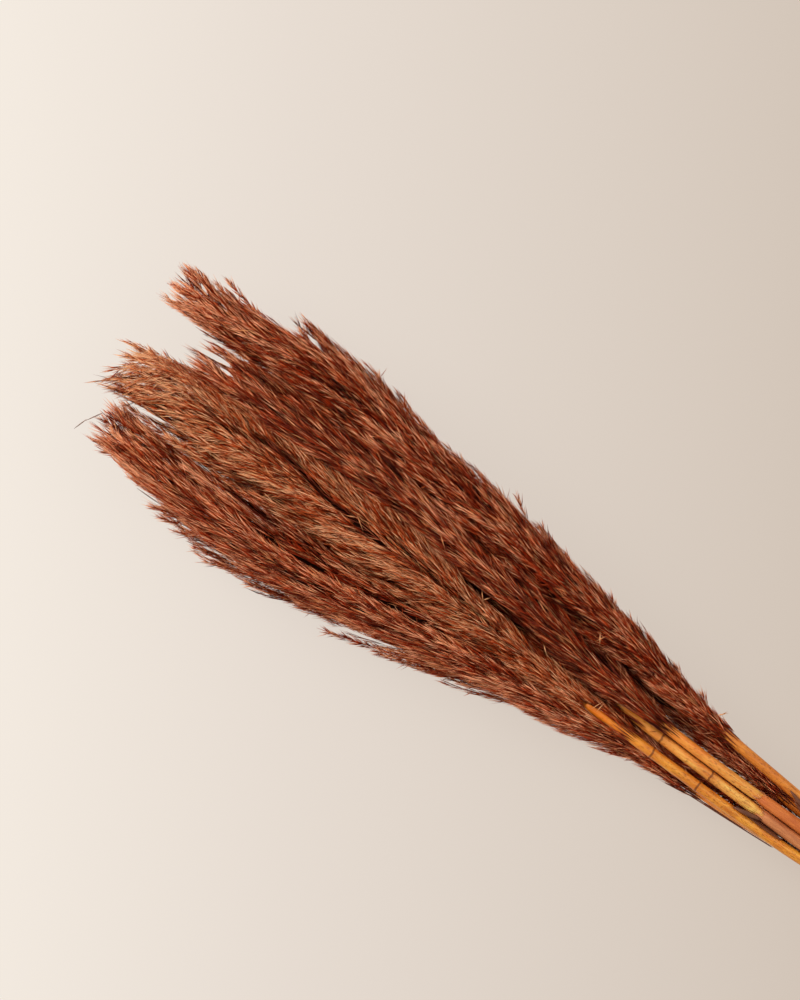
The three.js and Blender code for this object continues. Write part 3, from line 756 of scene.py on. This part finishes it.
def grow_fibres(reed, seed, finish):
    """Pale torn fibres that start along the wave of a leaf sheath's rim and point up the culm."""
    dice = np.random.default_rng(seed)
    count = FIBRES
    angle = dice.uniform(0, TAU, count)
    x = reed.sheath + RIM_BACK + 2.2 * np.sin(2 * angle + reed.sheath) + dice.uniform(0, 2, count)
    circle = np.stack([np.zeros(count), np.cos(angle), np.sin(angle)], axis=-1)
    line = np.column_stack([x, reed.middle(x)])
    root = line + circle * (SHEATH_CULM_RADIUS + JOINT_GAP + 0.3)
    length = dice.uniform(2, 6, count)
    ahead = np.column_stack([x - length, reed.middle(x - length)])
    out = reed.culm_radius(x - length) + dice.uniform(0.2, 1.0, count)
    growth = Growth()
    add_blades(growth, root, ahead + circle * out[:, None], dice.uniform(0.15, 0.35, count), circle,
                dice.uniform(0.3, 1, count), np.full(count, STRAW))
    return growth.piece("sheath_" + reed.name + "_fibres", finish, None, "sheath")


def grow_leaf_bits(finish):
    """Small curls of leaf and bent awns: flat tubes, which arch up and narrow to both ends by a sine."""
    growth = Growth()
    for *ends, half_width in LEAF_BITS:
        spots = np.array(ends, float)
        path = spots[0] + (spots[1] - spots[0]) * np.linspace(0, 1, 7)[:, None]
        path[:, 2] += 0.6 * half_width * np.sin(np.linspace(0, math.pi, 7))
        width = half_width * (0.2 + 0.8 * np.sin(np.linspace(0.3, math.pi - 0.1, 7)))
        vertices, faces = tube(path, width, 6)
        middle = np.concatenate([path[:1], np.repeat(path, 6, axis=0), path[-1:]])
        vertices = middle + (vertices - middle) * np.array([1, 1, 0.35])
        growth.add(vertices[None], faces, np.zeros((1, len(vertices), 2)))
    return growth.piece("leaf_bits", finish, None, "leaf", False)


class Number:
    """A number that varies over a surface. Arithmetic on it adds Math nodes."""

    def __init__(self, finish, socket):
        self.finish = finish
        self.socket = socket

    def math(self, operation, *others):
        values = dict(enumerate([self, *others]))
        return self.finish.node("ShaderNodeMath", {"operation": operation}, values)

    def __add__(self, other):
        return self.math("ADD", other)

    def __sub__(self, other):
        return self.math("SUBTRACT", other)

    def __rsub__(self, other):
        return (self * -1) + other

    def __mul__(self, other):
        return self.math("MULTIPLY", other)

    def __truediv__(self, other):
        return self.math("DIVIDE", other)

    __radd__ = __add__
    __rmul__ = __mul__


class Finish:
    """A node material: its Principled shader, and one method that adds any other node, which the short
    ones after it call."""

    def __init__(self, name, **constants):
        self.material = bpy.data.materials.new(name)
        self.material.use_nodes = True
        self.tree = self.material.node_tree
        self.shader = self.tree.nodes["Principled BSDF"]
        for socket, value in constants.items():
            self.shader.inputs[socket.replace("_", " ").title().replace("Ior", "IOR")].default_value = value

    def put(self, socket, value):
        """Sets a socket, or links it."""
        if isinstance(value, Number):
            self.tree.links.new(value.socket, socket)
        else:
            socket.default_value = value

    def node(self, kind, settings=None, values=None, output=0):
        """Adds a node: its settings first, then the values or links of its sockets. Gives one output."""
        node = self.tree.nodes.new(kind)
        for setting, value in (settings or {}).items():
            if setting == "stops":
                ramp = node.color_ramp.elements
                while len(ramp) < len(value):
                    ramp.new(0.5)
                for element, (position, colour) in zip(ramp, value):
                    element.position = position
                    element.color = colour
            else:
                setattr(node, setting, value)
        for socket, value in (values or {}).items():
            self.put(node.inputs[socket], value)
        return Number(self, node.outputs[output])

    def colour(self, value):
        self.put(self.shader.inputs["Base Color"], value)

    def mixed(self, factor, first, second):
        """A mix of two colours, from the first at a factor of 0 or less to the second at 1 or more."""
        return self.node("ShaderNodeMix", {"data_type": "RGBA"}, {0: factor, 6: first, 7: second}, output=2)

    def on_piece(self):
        """Object coordinates."""
        return self.node("ShaderNodeTexCoord", output=3)

    def part(self, vector, axis):
        """One of a vector's three numbers."""
        return self.node("ShaderNodeSeparateXYZ", None, {0: vector}, axis)

    def rise(self, value, low, high):
        """0 where the value is at low or beyond it, 1 at high or beyond it, and a straight rise between."""
        return self.node("ShaderNodeMapRange", None, {0: value, 1: low, 2: high})


def linear(red, green, blue):
    """A colour given as it looks on a screen, 0 to 255, as the light that it reflects, with its alpha."""
    parts = [part / 255 for part in (red, green, blue)]
    return (*(part / 12.92 if part <= 0.04 else ((part + 0.055) / 1.055) ** 2.4 for part in parts), 1)


def plume_finish(name, dark, middle, warm, light, straw):
    """Dyed spikelets: the palette's tone runs from dark to light, each spikelet is lighter towards its tip,
    and its kind draws it towards straw, a dull purple brown or the colour of a hair or a stalk."""
    finish = Finish(name, roughness=0.5, specular_ior_level=0.1, specular_tint=(1, 0.62, 0.42, 1))
    place = finish.node("ShaderNodeUVMap", {"uv_map": PALETTE})
    tone = finish.part(place, 0)
    up = finish.part(place, 1) * KINDS
    kind = up.math("FLOOR")
    along = up.math("FRACT")
    shade = tone + (along - 0.4) * 0.42
    stops = [(0.0, linear(*dark)), (0.5, linear(*middle)), (0.75, linear(*warm)), (1.0, linear(*light))]
    colour = finish.node("ShaderNodeValToRGB", {"stops": stops}, {0: shade})
    for which, least, more, tint in (
        (STRAW, 0.35, 0.35, straw), (DULL, 0.5, 0, (112, 62, 50)),
        # The hairs' lighter orange is partly painted light, standing in for light that shines through them.
        (HAIR, 0.1, 0.15, (226, 122, 74)), (STALK, 1, 0, (196, 112, 44)),
    ):
        share = kind.math("COMPARE", which, 0.5) * (along * more + least)
        colour = finish.mixed(share, colour, linear(*tint))
    finish.colour(colour)
    return finish.material


def stretched(finish, along_scale, across_scale, detail=4.0, roughness=0.6):
    """Noise drawn out along X: its scale along the culms is far smaller than across them."""
    scale = (along_scale, across_scale, across_scale)
    drawn = finish.node("ShaderNodeMapping", None, {0: finish.on_piece(), 3: scale})
    values = {0: drawn, "Scale": 1.0, "Detail": detail, "Roughness": roughness}
    return finish.node("ShaderNodeTexNoise", None, values)


def culm_finish(name, dark, light, rings, head, head_painted_light):
    """A dried culm: yellow to orange in long streaks, and near its head, where the plume shades it, a
    painted light towards a deeper orange by the share head_painted_light; with brown specks, a waxy shine,
    fine grooves, and a dark line and a stain at each joint."""
    finish = Finish(
        name, roughness=0.34, specular_tint=(1, 0.75, 0.4, 1), coat_weight=0.22, coat_roughness=0.26,
    )
    streaks = stretched(finish, 18, 1500, 5.0, 0.7)
    patches = stretched(finish, 34, 160, 3.0, 0.55)
    colour = finish.mixed(streaks * 1.6 + patches * 1.3 - 0.95, linear(*dark), linear(*light))
    specks = finish.rise(stretched(finish, 380, 1300, 2.0), 0.56, 0.66)
    colour = finish.mixed(specks * 0.65, colour, linear(112, 50, 18))
    blotches = finish.rise(stretched(finish, 90, 420, 3.0), 0.54, 0.68)
    colour = finish.mixed(blotches * 0.45, colour, linear(150, 74, 26))
    x = finish.part(finish.on_piece(), 0)
    # Painted light: near the head, which the plume shades, the colour is drawn towards a strong orange.
    near_head = finish.rise(x, (head + 66) * MM, (head + 6) * MM)
    colour = finish.mixed(near_head * head_painted_light, colour, linear(250, 122, 24))
    wander = (stretched(finish, 60, 420, 2.0) - 0.5) * (2.4 * MM)
    for ring in rings:
        line = (x + wander - ring * MM).math("ABSOLUTE")
        dark_line = finish.rise(line, 1.0 * MM, 0.3 * MM)
        stain = finish.rise(line, 12 * MM, 0.0)
        colour = finish.mixed(stain * patches * 0.8, colour, linear(190, 88, 26))
        colour = finish.mixed(dark_line * 0.8, colour, linear(104, 44, 16))
    finish.colour(colour)
    bump = finish.node("ShaderNodeBump", None, {"Strength": 0.35, "Distance": 0.0004, "Height": streaks})
    finish.put(finish.shader.inputs["Normal"], bump)
    return finish.material


def papery_finish(name, dark, light):
    """A dry leaf sheath or strip: fine ribs along it, in streaks from dark to light."""
    finish = Finish(name, roughness=0.6)
    ribs = stretched(finish, 14, 2600, 3.0, 0.65)
    patches = stretched(finish, 50, 200, 4.0, 0.6)
    finish.colour(finish.mixed(ribs * 1.3 + patches * 1.2 - 0.75, linear(*dark), linear(*light)))
    bump = finish.node("ShaderNodeBump", None, {"Strength": 0.5, "Distance": 0.0003, "Height": ribs})
    finish.put(finish.shader.inputs["Normal"], bump)
    return finish.material


def rubber_finish():
    """A natural rubber band: tan, a little dusty."""
    finish = Finish("natural_rubber", roughness=0.5)
    dust = finish.node("ShaderNodeTexNoise", None, {"Scale": 900.0, "Detail": 3.0})
    finish.colour(finish.mixed(dust, linear(186, 146, 92), linear(214, 180, 128)))
    return finish.material


def make_culm(reed, finish):
    """A culm: a tube along its reed's line, from its head to its cut end. Its radius swells to a joint with
    a groove at each ring, each a bell curve, and its cut end is a flat face with a pit of pith."""
    stations = np.arange(reed.head, reed.cut - 1, 5.0)
    near_joint = np.array([-2.2, -1.2, -0.6, -0.25, 0, 0.25, 0.6, 1.2, 2.2])
    for ring in reed.rings:
        stations = stations[np.abs(stations - ring) > 2.4]
        stations = np.concatenate([stations, ring + near_joint])
    if reed.sheath:
        steps = [reed.sheath - 1.5, reed.sheath, reed.sheath + 2, SHEATH_END + 1, SHEATH_END + 3]
        stations = np.concatenate([stations, steps])
    stations = np.unique(np.round(np.concatenate([stations, [reed.cut - 0.6]]), 3))
    radii = reed.culm_radius(stations)
    for ring in reed.rings:
        off = stations - ring
        swell = JOINT_SWELL * np.exp(-((off / 1.1) ** 2))
        radii = radii + swell - JOINT_GROOVE * np.exp(-((off / 0.28) ** 2))
    path = np.column_stack([stations, reed.middle(stations)])
    end = path[-1] + np.array([0.6, 0, 0])
    path = np.concatenate([path, [end, end, end - [0.25, 0, 0]]])
    radii = np.concatenate([radii, [CULM_CUT_RADIUS - 0.25, CULM_CUT_RADIUS * 0.6, CULM_CUT_RADIUS * 0.5]])
    along = unit(np.gradient(path[:-2], axis=0))
    along = np.concatenate([along, along[-1:], along[-1:]])
    vertices, faces = tube(path, radii, CULM_SIDES, along)
    return new_piece("culm_" + reed.name + "_skin", vertices, faces, finish, "culm_" + reed.name)


def make_sheath(reed, finish):
    """A leaf sheath round its culm: a wall whose outside has ribs by a sine and an edge that stands proud
    by a bell curve, and a torn upper rim, which wanders by three sines."""
    rim = reed.sheath + RIM_BACK
    stations = np.concatenate([[rim], np.linspace(rim + 6, SHEATH_END - 1, 22)])
    angle = TAU * np.arange(SHEATH_SIDES) / SHEATH_SIDES
    torn = 2.2 * np.sin(2 * angle + reed.sheath) + 1.2 * np.sin(5 * angle) + 0.9 * np.sin(11 * angle + 1)
    along = stations[:, None] + np.where(stations == rim, 1.0, 0.0)[:, None] * torn[None]
    middle = reed.middle(along)
    ribs = 0.07 * np.sin(angle * 16)
    lap = 0.35 * np.exp(-(((angle - 2.2) / 0.35) ** 2))
    inner = SHEATH_CULM_RADIUS + JOINT_GAP * 0.7
    wall = np.where(stations == rim, 0.35, 1.0)[:, None] * (SHEATH_WALL + ribs + lap)[None]
    outer = inner + wall
    circle = np.stack([np.cos(angle), np.sin(angle)], axis=-1)

    def ring(radius):
        return np.concatenate([along[..., None], middle + radius[..., None] * circle[None]], axis=-1)

    surface = np.concatenate([ring(outer), ring(np.full_like(outer, inner))[::-1]])
    count = len(surface)
    index = np.arange(count * SHEATH_SIDES).reshape(count, SHEATH_SIDES)
    beside = np.roll(index, -1, axis=1)
    faces = np.stack([index, beside, np.roll(beside, -1, axis=0), np.roll(index, -1, axis=0)], axis=-1)
    return new_piece("sheath_" + reed.name + "_skin", surface.reshape(-1, 3), faces.reshape(-1, 4), finish,
                     "sheath_" + reed.name)


# A culm's streaks, dark and light, and how much painted light deepens the orange at its shaded head
CULM_LOOKS = {
    "a": ((204, 84, 10), (255, 184, 66), 0.6),
    "b": ((220, 104, 28), (255, 212, 108), 0.6),
    "c": ((212, 92, 20), (255, 198, 94), 0.5),
    "d": ((190, 86, 18), (242, 154, 58), 0.0),
    "e": ((194, 80, 14), (246, 148, 50), 0.0),
}
SHEATH_LOOKS = {"red": ((172, 72, 18), (240, 138, 56)), "brown": ((140, 60, 24), (234, 150, 86))}
plume_looks = {
    "dark": plume_finish(
        "dark_spikelets", (22, 1, 0), (161, 42, 9), (201, 87, 43), (255, 177, 132), (252, 172, 112),
    ),
    "pale": plume_finish(
        "pale_spikelets", (30, 4, 0), (185, 61, 17), (220, 121, 69), (255, 189, 140), (252, 188, 128),
    ),
}
for number, reed in enumerate(reeds):
    look, slot = ("pale", "pale_plume") if reed.name == "a" else ("dark", "plume")
    grow_plume(reed, 40 + number, plume_looks[look], slot)
    dark, light, head_painted_light = CULM_LOOKS.get(reed.name, CULM_LOOKS["c"])
    make_culm(reed, culm_finish("culm_" + reed.name + "_wax", dark, light, reed.rings, reed.head, head_painted_light))
    if reed.sheath:
        dark, light = SHEATH_LOOKS["red" if reed.name in "ce" else "brown"]
        make_sheath(reed, papery_finish("sheath_" + reed.name + "_paper", dark, light))
        grow_fibres(reed, 60 + number, plume_looks["pale"])

leaf_look = papery_finish("torn_leaf", (64, 28, 12), (142, 78, 40))
grow_leaf_bits(leaf_look)
for name, look in (("leaf_strip_a", leaf_look), ("leaf_strip_f", leaf_look), ("tie_band", rubber_finish())):
    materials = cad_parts[name].data.materials
    materials.clear()
    materials.append(look)

# The table, the light and the camera, which looks straight down, turned as the photograph is
PHOTO_TURN = math.radians(35)
PHOTO_MIDDLE = (-181.1 * MM, 22.4 * MM)
PLUME_HEIGHT = 45 * MM  # where the photograph's height measures FRAME_HEIGHT
FRAME_HEIGHT = 610 * MM
CAMERA_HEIGHT = 2.45

bpy.ops.mesh.primitive_plane_add(size=12)
table = bpy.context.object
table.name = "table"
# The table glows by itself: painted light, brighter towards one side, in place of lamplight and the shadows
# it would cast; a dim diffuse part keeps a faint shadow.
painted_table_light = Finish("table_paint", roughness=1.0, specular_ior_level=0.0, base_color=linear(86, 83, 79))
turn = {"Vector": painted_table_light.on_piece(), "Angle": -PHOTO_TURN}
turned = painted_table_light.node("ShaderNodeVectorRotate", {"rotation_type": "Z_AXIS"}, turn)
stops = [(0.0, linear(241, 232, 222)), (0.35, linear(228, 217, 207)), (1.0, linear(206, 192, 179))]
way = (painted_table_light.part(turned, 0) + 0.38) / 0.5
glow = painted_table_light.node("ShaderNodeValToRGB", {"stops": stops}, {0: way})
painted_table_light.put(painted_table_light.shader.inputs["Emission Color"], glow)
painted_table_light.shader.inputs["Emission Strength"].default_value = 0.9
table.data.materials.append(painted_table_light.material)

camera = bpy.data.cameras.new("camera")
camera.sensor_fit = "VERTICAL"
camera.sensor_height = 24
camera.lens = camera.sensor_height * (CAMERA_HEIGHT - PLUME_HEIGHT) / FRAME_HEIGHT
camera_object = bpy.data.objects.new("camera", camera)
camera_object.location = (*PHOTO_MIDDLE, CAMERA_HEIGHT)
camera_object.rotation_euler = (0, 0, PHOTO_TURN)
bpy.context.scene.collection.objects.link(camera_object)
bpy.context.scene.camera = camera_object


def add_light(name, spot, size, power, colour):
    """A square lamp, turned to face the plumes: yaw and pitch give the bearing and the dip of its aim."""
    lamp = bpy.data.lights.new(name, "AREA")
    lamp.size = size
    lamp.energy = power
    lamp.color = colour
    holder = bpy.data.objects.new(name, lamp)
    holder.location = spot
    aim = np.array([PHOTO_MIDDLE[0], PHOTO_MIDDLE[1], 0.04]) - np.array(spot)
    yaw = math.atan2(aim[1], aim[0]) - math.pi / 2
    pitch = math.atan2(-aim[2], math.hypot(aim[0], aim[1]))
    holder.rotation_euler = (math.pi / 2 - pitch, 0, yaw)
    bpy.context.scene.collection.objects.link(holder)


def on_photo(right, up, height):
    """A spot over the table, given by the photograph's right and up, in metres."""
    turn = (math.cos(PHOTO_TURN), math.sin(PHOTO_TURN))
    return (
        PHOTO_MIDDLE[0] + right * turn[0] - up * turn[1],
        PHOTO_MIDDLE[1] + right * turn[1] + up * turn[0],
        height,
    )


add_light("window", on_photo(-1.5, 0.9, 1.5), 1.6, 42, (1, 0.985, 0.96))
add_light("fill", on_photo(1.2, 0.3, 2.0), 2.0, 14, (1, 0.98, 0.95))
world = bpy.data.worlds.new("studio")
world.use_nodes = True
world.node_tree.nodes["Background"].inputs["Color"].default_value = (1, 0.985, 0.965, 1)
world.node_tree.nodes["Background"].inputs["Strength"].default_value = 0.45
bpy.context.scene.world = world
bpy.context.scene.view_settings.view_transform = "Standard"
